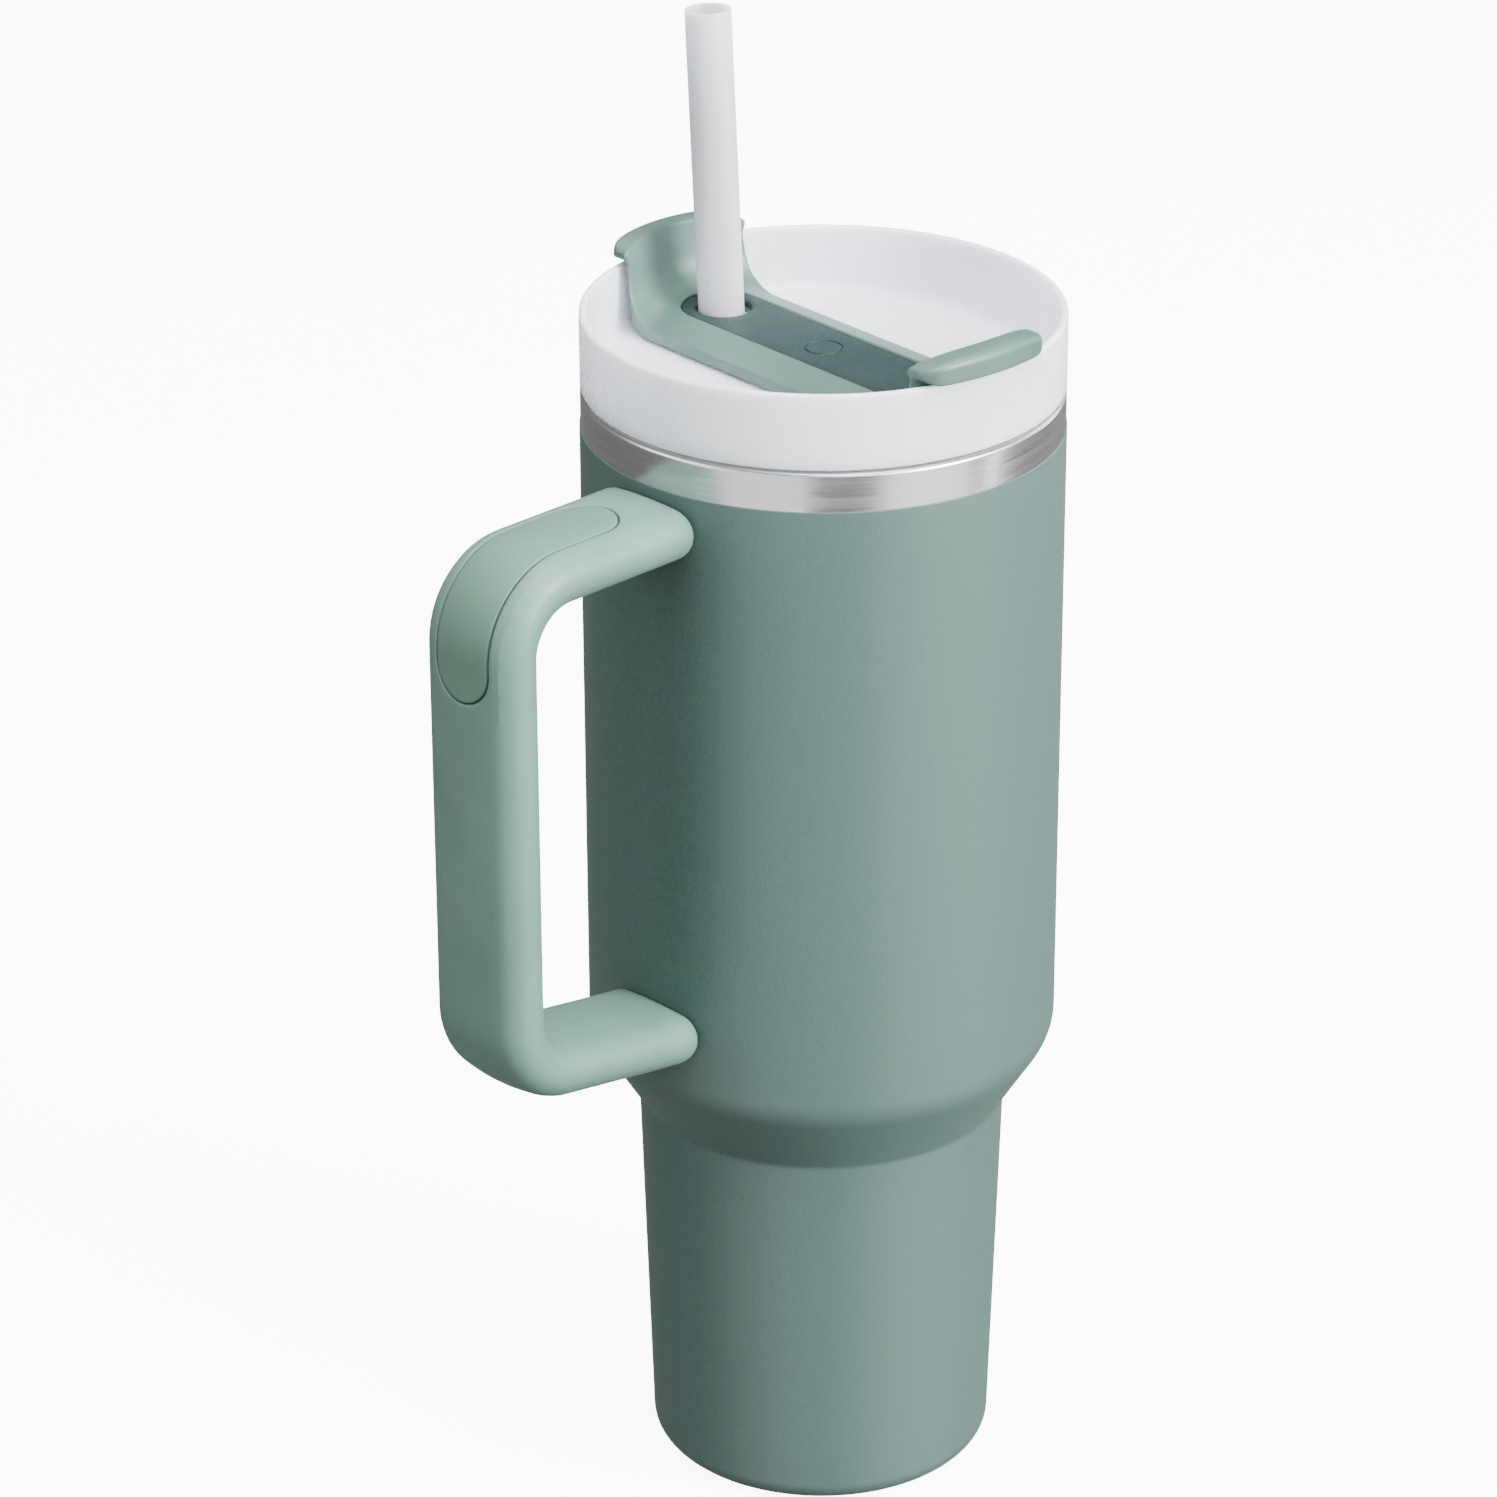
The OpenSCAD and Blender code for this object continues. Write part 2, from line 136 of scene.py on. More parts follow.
class Nodes:
    """A short way to write a material's node tree."""

    def __init__(self, name, **principled):
        self.mat = bpy.data.materials.new(name)
        self.mat.use_nodes = True
        self.tree = self.mat.node_tree
        self.shader = self.tree.nodes["Principled BSDF"]
        for key, value in principled.items():
            self.shader.inputs[key.replace("_", " ")].default_value = value

    def add(self, kind, inputs=None, **settings):
        node = self.tree.nodes.new("ShaderNode" + kind)
        for key, value in settings.items():
            setattr(node, key, value)
        for key, value in (inputs or {}).items():
            if isinstance(value, bpy.types.NodeSocket):
                self.tree.links.new(value, node.inputs[key])
            else:
                node.inputs[key].default_value = value
        return node

    def position(self, scale=(1, 1, 1)):
        where = self.add("TexCoord").outputs["Object"]
        return self.add("Mapping", {"Vector": where, "Scale": scale}).outputs["Vector"]

    def noise(self, scale, detail=2.0, vector=None, roughness=0.5):
        vector = vector or self.position()
        found = self.add("TexNoise", {"Vector": vector, "Scale": scale, "Detail": detail,
                                      "Roughness": roughness})
        return found.outputs["Fac"]

    def ramp(self, value, low, high, out_low=0.0, out_high=1.0):
        node = self.add("MapRange", {"Value": value, "From Min": low, "From Max": high,
                                     "To Min": out_low, "To Max": out_high})
        return node.outputs["Result"]

    def mix(self, factor, a, b):
        node = self.add("Mix", data_type="RGBA")
        for socket, value in ((node.inputs[0], factor), (node.inputs[6], a), (node.inputs[7], b)):
            if isinstance(value, bpy.types.NodeSocket):
                self.tree.links.new(value, socket)
            else:
                socket.default_value = value
        return node.outputs[2]

    def bump(self, height, distance, strength):
        inputs = {"Height": height, "Distance": distance, "Strength": strength}
        return self.add("Bump", inputs).outputs["Normal"]

    def plug(self, key, socket):
        self.tree.links.new(socket, self.shader.inputs[key])


def colour(r, g, b):
    """An sRGB colour, 0 to 255, as the linear colour that the shader takes. Blue stops at 255,
    since the palest tones' lighter shade would pass it."""
    out = []
    for c in (r / 255, g / 255, min(b, 255) / 255):
        out.append(c / 12.92 if c <= 0.04045 else ((c + 0.055) / 1.055) ** 2.4)
    return (*out, 1.0)


def powder_coat():
    n = Nodes("powder_coat", Roughness=0.5, IOR=1.5)
    speck = n.noise(2600, 3)
    broad = n.noise(60, 2)
    base = n.mix(n.ramp(speck, 0.35, 0.65), colour(60, 84, 79), colour(66, 90, 85))
    n.plug("Base Color", n.mix(n.ramp(broad, 0.3, 0.7, 0.0, 0.35), base, colour(63, 87, 82)))
    n.plug("Roughness", n.ramp(speck, 0.3, 0.7, 0.42, 0.56))
    n.plug("Normal", n.bump(speck, 0.00006, 0.5))
    return n.mat


def brushed(name, tone, rough, anisotropic=0.7):
    """Steel brushed around the Z axis: its grain changes quickly along Z only."""
    n = Nodes(name, Metallic=1.0, Roughness=rough, Anisotropic=anisotropic)
    lines = n.noise(900, 3, n.position((0.02, 0.02, 1)), 0.6)
    n.plug("Base Color", n.mix(lines, colour(*tone), colour(*(c + 22 for c in tone))))
    n.plug("Roughness", n.ramp(lines, 0.3, 0.7, rough - 0.05, rough + 0.07))
    n.plug("Normal", n.bump(lines, 0.00001, 0.2))
    return n.mat


def moulded(name, tone, rough, grain=1800, depth=0.00003, spread=5, **more):
    """Moulded plastic or rubber with a fine matt grain."""
    n = Nodes(name, Roughness=rough, **more)
    n.shader.inputs["Subsurface Radius"].default_value = (1.0, 1.0, 1.0)
    grain_noise = n.noise(grain, 3)
    broad = n.noise(45, 2)
    shade = n.ramp(broad, 0.3, 0.7)
    darker = colour(*(c - spread for c in tone))
    lighter = colour(*(c + spread for c in tone))
    n.plug("Base Color", n.mix(shade, darker, lighter))
    n.plug("Roughness", n.ramp(grain_noise, 0.3, 0.7, rough - 0.04, rough + 0.06))
    n.plug("Normal", n.bump(grain_noise, depth, 0.5))
    return n.mat


MATERIALS = {
    "powder_coat": powder_coat(),
    "brushed_band": brushed("brushed_band", (182, 180, 178), 0.18, anisotropic=0.9),
    "liner_steel": brushed("liner_steel", (186, 186, 184), 0.32),
    "seal_metal": moulded("seal_metal", (120, 120, 120), 0.5, Metallic=1.0),
    "handle_plastic": moulded("handle_plastic", (86, 118, 108), 0.5),
    "grip_soft": moulded("grip_soft", (80, 112, 98), 0.62, 2200, 0.00004),
    "screw_steel": brushed("screw_steel", (165, 165, 165), 0.3),
    "frosted_plastic": moulded("frosted_plastic", (234, 238, 255), 0.26, 900, 0.00001, 2,
                               Subsurface_Weight=0.9, Subsurface_Scale=0.004),
    "silicone": moulded("silicone", (226, 227, 226), 0.45, 1200, 0.00002, 3,
                        Subsurface_Weight=0.3, Subsurface_Scale=0.003),
    "cover_plastic": moulded("cover_plastic", (68, 95, 86), 0.42),
    "insert_plastic": moulded("insert_plastic", (30, 48, 47), 0.5, Specular_IOR_Level=0.25),
    "straw_plastic": moulded("straw_plastic", (236, 243, 255), 0.3, 700, 0.00001, 2,
                             Subsurface_Weight=1.0, Subsurface_Scale=0.006),
}

# ---------------------------------------------------------------- mesh helpers

SHARP = 35


def lid_turned(points):
    """Points of the lid's own frame, turned as the tightened lid is."""
    c, s = math.cos(LID_TURN), math.sin(LID_TURN)
    p = np.asarray(points, float)
    return np.column_stack((p[:, 0] * c - p[:, 1] * s, p[:, 0] * s + p[:, 1] * c, p[:, 2]))


def make(name, verts, faces, slot, body, nodes=(), sharp=SHARP, normals=None):
    """A finished piece from points in millimetres."""
    mesh = bpy.data.meshes.new(name)
    mesh.from_pydata((np.asarray(verts, float) * MM).tolist(), [], [list(f) for f in faces])
    mesh.validate()
    mesh.update()
    mesh.materials.append(MATERIALS[slot])
    mesh.shade_smooth()
    if normals is None:
        mesh.set_sharp_from_angle(angle=math.radians(sharp))
    else:
        mesh.normals_split_custom_set_from_vertices(normals.tolist())
    piece = bpy.data.objects.new(name, mesh)
    bpy.context.scene.collection.objects.link(piece)
    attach(piece, body)
    if nodes:
        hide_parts(*nodes)
    return piece


def rounded(corners, steps=6):
    """A closed outline whose corners (x, y, radius) are rounded by arcs."""
    points = []
    count = len(corners)
    for i, (x, y, radius) in enumerate(corners):
        here = np.array((x, y), float)
        before = np.array(corners[i - 1][:2], float) - here
        after = np.array(corners[(i + 1) % count][:2], float) - here
        a, b = np.linalg.norm(before), np.linalg.norm(after)
        if radius <= 0 or a < 1e-9 or b < 1e-9:
            points.append(here)
            continue
        before, after = before / a, after / b
        half = math.acos(max(-1.0, min(1.0, float(before @ after)))) / 2
        if abs(half - math.pi / 2) < 1e-3:
            points.append(here)
            continue
        reach = radius / math.tan(half)
        middle = (before + after) / np.linalg.norm(before + after)
        centre = here + middle * radius / math.sin(half)
        start, end = here + before * reach - centre, here + after * reach - centre
        a0 = math.atan2(start[1], start[0])
        turn = (math.atan2(end[1], end[0]) - a0 + math.pi) % (2 * math.pi) - math.pi
        for k in range(steps + 1):
            angle = a0 + turn * k / steps
            points.append(centre + radius * np.array((math.cos(angle), math.sin(angle))))
    return points


def split_long(points, longest, closed=True):
    """Adds points along an outline so that no step is longer than longest."""
    out = []
    count = len(points)
    for i in range(count if closed else count - 1):
        a, b = np.asarray(points[i]), np.asarray(points[(i + 1) % count])
        parts = max(1, math.ceil(np.linalg.norm(b - a) / longest))
        out += [a + (b - a) * k / parts for k in range(parts)]
    if not closed:
        out.append(np.asarray(points[-1]))
    return out


def ring_of(r, centre, steps, half_l=0.0):
    """A circle, or with half_l a strip with round ends along Y, as points."""
    points = []
    for k in range(steps):
        a = 2 * math.pi * k / steps
        x, y = r * math.cos(a), r * math.sin(a)
        y += half_l if math.sin(a) >= 0 else -half_l
        points.append((centre[0] + x, centre[1] + y))
    return points


def revolve(profile, segments, bulge=None):
    """Turns a closed (r, z) outline about Z; bulge moves a point out by its angle and place."""
    count = len(profile)
    verts, faces = [], []
    for s in range(segments):
        angle = 2 * math.pi * s / segments
        c, d = math.cos(angle), math.sin(angle)
        for r, z in profile:
            reach = r + (bulge(angle, r, z) if bulge else 0.0)
            verts.append((reach * c, reach * d, z))
    for s in range(segments):
        a, b = s * count, ((s + 1) % segments) * count
        for i in range(count):
            j = (i + 1) % count
            faces.append((a + i, b + i, b + j, a + j))
    return verts, faces


def revolve_open(profile, segments, bulge=None):
    """As revolve, without the faces that join the outline's last point to its first."""
    count = len(profile)
    verts, faces = revolve(profile, segments, bulge)
    return verts, [f for i, f in enumerate(faces) if i % count != count - 1]


def revolve_solid(profile, segments, bulge=None):
    """As revolve, for an outline that starts and ends on the axis."""
    count = len(profile) - 2
    verts, faces = revolve_open(profile[1:-1], segments, bulge)
    first, last = len(verts), len(verts) + 1
    verts += [(0, 0, profile[0][1]), (0, 0, profile[-1][1])]
    for s in range(segments):
        a, b = s * count, ((s + 1) % segments) * count
        faces.append((first, b, a))
        faces.append((last, a + count - 1, b + count - 1))
    return verts, faces


def spread_out(profile, longest):
    """Splits an outline's long steps, leaving its first and last point on the axis alone."""
    return [profile[0]] + split_long(profile[1:-1], longest, closed=False) + [profile[-1]]


def outwards(verts, faces):
    """The faces, all turned to look outwards."""
    mesh = bmesh.new()
    points = [mesh.verts.new(v) for v in verts]
    for f in faces:
        mesh.faces.new([points[i] for i in f])
    bmesh.ops.recalc_face_normals(mesh, faces=mesh.faces)
    mesh.verts.index_update()
    faces = [[v.index for v in f.verts] for f in mesh.faces]
    mesh.free()
    return faces


# ---------------------------------------------------------------- cup


def cup_corners(inset, low, top, foot=5.0):
    """The cup's outer outline, moved inwards by inset, as corners to round."""
    edge = BODY_R - TAPER
    run = (edge - WAIST_R) / math.tan(SHOULDER_ANGLE)
    drop = inset * math.tan(SHOULDER_ANGLE / 2)
    return [
        (FOOT_R - TAPER - inset, low, foot),
        (WAIST_R - inset, SHOULDER_Z - drop, WAIST_FILLET + inset),
        (edge - inset, SHOULDER_Z + run - drop, SHOULDER_FILLET - inset),
        (BODY_R - inset, top, 0.25),
    ]


def build_shell():
    """The coated steel wall, open at the foot where the base cap sits."""
    outer = cup_corners(0, 0, BODY_TOP)
    inner = cup_corners(WALL, WALL, BODY_TOP, 4.0)[::-1]
    inner[0] = (BODY_R - WALL, BODY_TOP, 0)
    foot = [(BASE_R, WALL, 0), (BASE_R, 0, 0)]
    profile = split_long(rounded(outer + inner + foot, 14), 12)
    verts, faces = revolve(profile, 256)
    make("cup_shell", verts, outwards(verts, faces), "powder_coat", "cup", ["outer_shell"])


def build_mouth_ring():
    profile = rounded([
        (RING_R - WALL, BODY_TOP, 0), (RING_R, BODY_TOP, 0), (RING_R, MOUTH_Z, 1.2),
        (LINER_R + LINER_T, MOUTH_Z, 0), (LINER_R + LINER_T, MOUTH_Z - WALL, 0),
        (RING_R - WALL, MOUTH_Z - WALL, 0)], 10)
    verts, faces = revolve(split_long(profile, 3), 256)
    make("mouth_band", verts, outwards(verts, faces), "brushed_band", "cup", ["mouth_ring"])


def thread(angle, z, low, high, height, half_width=1.3):
    """How far a screw thread stands out at an angle and height, with run-outs at both ends."""
    pitch = THREAD_LEAD / THREAD_STARTS
    phase = (z - THREAD_LEAD * angle / (2 * math.pi)) % pitch
    away = min(phase, pitch - phase)
    ridge = min(1.0, max(0.0, (half_width - away) / 0.5))
    ends = min(1.0, max(0.0, (z - low) / 1.5)) * min(1.0, max(0.0, (high - z) / 1.5))
    return height * ridge * ends


def build_liner():
    """The inner cup, with a low thread pressed into its neck."""
    inset = BODY_R - LINER_R - LINER_T
    outer = cup_corners(inset, LINER_FLOOR - LINER_T, MOUTH_Z)
    inner = cup_corners(inset + LINER_T, LINER_FLOOR, MOUTH_Z)
    low, high = MOUTH_Z - 17, MOUTH_Z - 2

    def bulge(angle, r, z):
        near_wall = r < LINER_R + 0.2 and low < z < high
        return -thread(angle, z, low, high, 0.22) if near_wall else 0.0

    neck = [(LINER_R, z, 0) for z in np.arange(MOUTH_Z - 1, low - 1, -THREAD_STEP)]
    profile = rounded([
        (0, LINER_FLOOR - LINER_T, 0), (outer[0][0], outer[0][1], 5.0), *outer[1:3],
        (LINER_R + LINER_T, MOUTH_Z, 0), (LINER_R, MOUTH_Z, 0.3), *neck,
        inner[2], inner[1], (inner[0][0], inner[0][1], 5.0), (0, LINER_FLOOR, 0)], 8)
    verts, faces = revolve_solid(spread_out(profile, 14), 240, bulge)
    make("steel_liner", verts, outwards(verts, faces), "liner_steel", "cup", ["inner_liner"])


def build_base():
    profile = rounded([
        (0, 1, 0), (BASE_R, 1, 0), (BASE_R, 0, 0.15), (25, 0, 0.2), (24.7, 0.5, 0.2),
        (23.3, 0.5, 0.2), (23, 0, 0.2), (0, 0, 0)], 4)
    verts, faces = revolve_solid(profile, 160)
    make("base_cap", verts, outwards(verts, faces), "powder_coat", "cup", ["base_plate"])


# ---------------------------------------------------------------- handle


def handle_section():
    """The handle's section as a function of arc length: (out, side, normal) from its outer
    middle round to its inner middle and back. Crowned faces run into round edges."""
    edge_r, half_t, half_w = 5.4, 6.0, 12.65
    side = half_w - edge_r
    crown_r = ((half_t ** 2 + side ** 2 - edge_r ** 2) / (2 * (half_t - edge_r)))
    lean = math.atan2(side, crown_r - half_t)
    crown_l, edge_l = crown_r * lean, edge_r * (math.pi - 2 * lean)
    quarter = crown_l + edge_l + crown_l

    def at(v):
        sign = 1 if v >= 0 else -1
        v = min(abs(v), quarter)
        if v <= crown_l:
            a = v / crown_r
            out, across, turn = half_t - crown_r + crown_r * math.cos(a), crown_r * math.sin(a), a
        elif v <= crown_l + edge_l:
            turn = lean + (v - crown_l) / edge_r
            out, across = edge_r * math.cos(turn), side + edge_r * math.sin(turn)
        else:
            a = (quarter - v) / crown_r
            out, across = crown_r - half_t - crown_r * math.cos(a), crown_r * math.sin(a)
            turn = math.pi - a
        return out, sign * across, (math.cos(turn), sign * math.sin(turn))

    return at, quarter


def handle_path():
    """The handle's middle line as a function of arc length: (place, outward direction)."""
    low_turn = math.pi / 2 - ARM_FALL
    tangent = HANDLE_BEND * math.tan(low_turn / 2)
    bend_x = GRIP_X - HANDLE_BEND
    top_z, low_z = ARM_TOP_Z - HANDLE_BEND, ARM_LOW_Z + tangent
    arm = bend_x - ARM_END_R
    bend = HANDLE_BEND * math.pi / 2
    grip = top_z - low_z
    low_bend = HANDLE_BEND * low_turn
    low_start = np.array((GRIP_X - tangent * math.cos(ARM_FALL),
                          ARM_LOW_Z - tangent * math.sin(ARM_FALL)))
    low_arm = (low_start[0] - ARM_END_R) / math.cos(ARM_FALL)
    stops = np.cumsum([arm, bend, grip, low_bend, low_arm])

    def at(s):
        if s <= stops[0]:
            return (ARM_END_R + s, ARM_TOP_Z), (0.0, 1.0)
        if s <= stops[1]:
            a = math.pi / 2 - (s - stops[0]) / HANDLE_BEND
            return ((bend_x + HANDLE_BEND * math.cos(a), top_z + HANDLE_BEND * math.sin(a)),
                    (math.cos(a), math.sin(a)))
        if s <= stops[2]:
            return (GRIP_X, top_z - (s - stops[1])), (1.0, 0.0)
        if s <= stops[3]:
            a = -(s - stops[2]) / HANDLE_BEND
            return ((bend_x + HANDLE_BEND * math.cos(a), low_z + HANDLE_BEND * math.sin(a)),
                    (math.cos(a), math.sin(a)))
        run = s - stops[3]
        out = (math.sin(ARM_FALL), -math.cos(ARM_FALL))
        return (low_start[0] - run * math.cos(ARM_FALL),
                low_start[1] - run * math.sin(ARM_FALL)), out

    return at, stops


SECTION, SECTION_HALF = handle_section()
PATH, PATH_STOPS = handle_path()
PATH_END = PATH_STOPS[-1]
# The soft panel starts at PANEL_X on the upper arm and ends at PANEL_LOW_Z on the grip
PANEL_X = 60.0
PANEL_LOW_Z = 203.0
PANEL_HALF_W = 7.2
PANEL_T = 1.2
PANEL_START = PANEL_X - ARM_END_R
PANEL_END = PATH_STOPS[1] + (ARM_TOP_Z - HANDLE_BEND) - PANEL_LOW_Z
# The arms' ends are rounded over END_ROUND and bend to the cup's wall over END_BLEND
END_ROUND = 2.6
END_BLEND = 14.0


def handle_point(s, v, depth=0.0):
    """A point of the handle's skin at path length s and section length v, sunk by depth."""
    out, across, normal = SECTION(v)
    from_end = min(s, PATH_END - s)
    sink = depth
    if from_end < END_ROUND:
        lift = 1 - from_end / END_ROUND
        sink += END_ROUND * (1 - math.sqrt(max(0.0, 1 - lift * lift)))
    out -= sink * normal[0]
    across -= sink * normal[1]
    (x, z), (nx, nz) = PATH(s)
    x, z = x + out * nx, z + out * nz
    if from_end < END_BLEND:
        fade = 1 - from_end / END_BLEND
        x += (math.sqrt(ARM_END_R ** 2 - across ** 2) - ARM_END_R) * fade * fade
    return -x, across, z


def panel_edge(distance, steps=20):
    """The grip panel's outline in (s, v), moved outwards by distance."""
    r = PANEL_HALF_W + distance
    first, last = PANEL_START + PANEL_HALF_W, PANEL_END - PANEL_HALF_W
    points = []
    straight = max(2, math.ceil((last - first) / HANDLE_STEP))
    for k in range(straight):
        points.append((first + (last - first) * k / straight, r))
    for k in range(steps):
        a = math.pi / 2 - math.pi * k / steps
        points.append((last + r * math.cos(a), r * math.sin(a)))
    for k in range(straight):
        points.append((last - (last - first) * k / straight, -r))
    for k in range(steps):
        a = -math.pi / 2 - math.pi * k / steps
        points.append((first + r * math.cos(a), r * math.sin(a)))
    return points


def panel_distance(s, v):
    """How far a point of the skin lies outside the grip panel's outline."""
    first, last = PANEL_START + PANEL_HALF_W, PANEL_END - PANEL_HALF_W
    along = s - min(max(s, first), last)
    return math.hypot(along, v) - PANEL_HALF_W


# Spacing of the points of the handle's skin, and how near the seam they may come
HANDLE_STEP = 1.3
SEAM_CLEAR = 1.1

# Distance from the seam's middle and depth of its rounded lip, the same on both its sides
SEAM_LIP = [(0.6, 0.0), (0.42, 0.03), (0.28, 0.12), (0.18, 0.32), (0.14, 0.6), (0.12, 1.25)]


def triangulate(points, loops):
    """A Delaunay mesh of 2D points that keeps the closed loops given as point numbers."""
    edges = [(loop[i], loop[(i + 1) % len(loop)]) for loop in loops for i in range(len(loop))]
    verts, _, faces, _, _, _ = delaunay_2d_cdt([Vector(p) for p in points], edges, [], 0, 1e-6)
    return [tuple(v) for v in verts], faces


def seam_depth(distance):
    """How deep the seam's lip lies at a distance from the seam's middle."""
    xs = [d for d, _ in SEAM_LIP][::-1]
    ys = [depth for _, depth in SEAM_LIP][::-1]
    return float(np.interp(distance, xs, ys))


def seam_loops(points, side):
    """Adds the seam lip's outlines on one side to points and gives their numbers."""
    loops = []
    for distance, _ in SEAM_LIP:
        ring = panel_edge(side * distance)
        loops.append(list(range(len(points), len(points) + len(ring))))
        points += ring
    return loops


def rim_edges(faces):
    """The edges that only one face has, in that face's direction."""
    edges = set()
    for f in faces:
        edges |= {(a, b) for a, b in zip(f, list(f[1:]) + [f[0]])}
    return [(a, b) for a, b in edges if (b, a) not in edges]


def only_used(verts, faces):
    """The points that faces use, and the faces numbered to match."""
    used = sorted({i for f in faces for i in f})
    place = {old: new for new, old in enumerate(used)}
    return [verts[i] for i in used], [[place[i] for i in f] for f in faces]


def build_handle():
    """The handle's skin as rows along its path, with a finer patch round the seam."""
    end_rows = [0.0, 0.08, 0.25, 0.55, 1.0, 1.6, END_ROUND]
    rows = end_rows + list(np.arange(END_ROUND + HANDLE_STEP, PATH_END - END_ROUND, HANDLE_STEP))
    rows += [PATH_END - r for r in reversed(end_rows)]
    columns = list(np.linspace(-SECTION_HALF, SECTION_HALF, 53))[:-1]
    patch_s = [s for s in rows if PANEL_START - 2.5 < s < PANEL_END + 2.5]
    patch_v = [v for v in columns if abs(v) < PANEL_HALF_W + 3.0]
    s0, s1, v0, v1 = patch_s[0], patch_s[-1], patch_v[0], patch_v[-1]

    verts, number = [], {}

    def vert(s, v, depth=0.0):
        key = (round(s, 6), round(v, 6), round(depth, 6))
        if key not in number:
            number[key] = len(verts)
            verts.append(handle_point(s, v, depth))
        return number[key]

    faces = []
    for i in range(len(rows) - 1):
        for j in range(len(columns)):
            a, b = columns[j], columns[(j + 1) % len(columns)]
            inside = rows[i] >= s0 and rows[i + 1] <= s1 and a >= v0 and b <= v1 and b > a
            if not inside:
                faces.append((vert(rows[i], a), vert(rows[i + 1], a),
                              vert(rows[i + 1], b), vert(rows[i], b)))
    for s in (rows[0], rows[-1]):
        faces.append([vert(s, v) for v in columns])

    flat = [(s, v) for s in patch_s for v in patch_v]
    border = [p for p in flat if p[0] in (s0, s1) or p[1] in (v0, v1)]
    inner = [p for p in flat if p not in border and abs(panel_distance(*p)) > SEAM_CLEAR]
    points = border + inner
    flat_verts, flat_faces = triangulate(points, seam_loops(points, 1))
    chosen = [vert(s, v, seam_depth(panel_distance(s, v))) for s, v in flat_verts]
    faces += [[chosen[i] for i in f] for f in flat_faces]
    make("handle_grip_frame", verts, outwards(verts, faces), "handle_plastic", "cup",
         ["handle_frame"], sharp=50)
    build_panel(flat)


def build_panel(flat):
    """The soft panel: the skin's points flat inside the seam, with a wall and an underside."""
    points = [p for p in flat if panel_distance(*p) < -SEAM_CLEAR]
    flat_verts, flat_faces = triangulate(points, seam_loops(points, -1))
    keep = [f for f in flat_faces
            if panel_distance(*np.mean([flat_verts[i] for i in f], axis=0)) < -SEAM_LIP[-1][0]]
    top = [handle_point(s, v, min(seam_depth(-panel_distance(s, v)), PANEL_T))
           for s, v in flat_verts]
    under = [handle_point(s, v, PANEL_T) for s, v in flat_verts]
    count = len(flat_verts)
    on_rim = {i for pair in rim_edges(keep) for i in pair}
    under_of = {i: (i if i in on_rim else i + count) for i in range(count)}
    faces = keep + [[under_of[i] for i in reversed(f)] for f in keep]
    verts, faces = only_used(top + under, faces)
    make("soft_grip_panel", verts, outwards(verts, faces), "grip_soft", "cup",
         ["grip_insert"], sharp=50)


# ---------------------------------------------------------------- signed distances


def smooth_max(a, b, k):
    h = np.clip(0.5 - 0.5 * (b - a) / k, 0, 1)
    return b * (1 - h) + a * h + k * h * (1 - h)


def smooth_min(a, b, k):
    return -smooth_max(-a, -b, k)


def polygon_distance(x, y, outline):
    """Signed distance to a closed outline, negative inside."""
    best = np.full(x.shape, 1e9)
    inside = np.zeros(x.shape, bool)
    for (ax, ay), (bx, by) in zip(outline, outline[1:] + outline[:1]):
        ex, ey = bx - ax, by - ay
        t = np.clip(((x - ax) * ex + (y - ay) * ey) / (ex * ex + ey * ey + 1e-12), 0, 1)
        best = np.minimum(best, np.hypot(x - ax - t * ex, y - ay - t * ey))
        crosses = (ay > y) != (by > y)
        with np.errstate(divide="ignore", invalid="ignore"):
            at = ax + (y - ay) * ex / (ey if ey != 0 else 1e-12)
        inside ^= crosses & (x < at)
    return np.where(inside, -best, best)


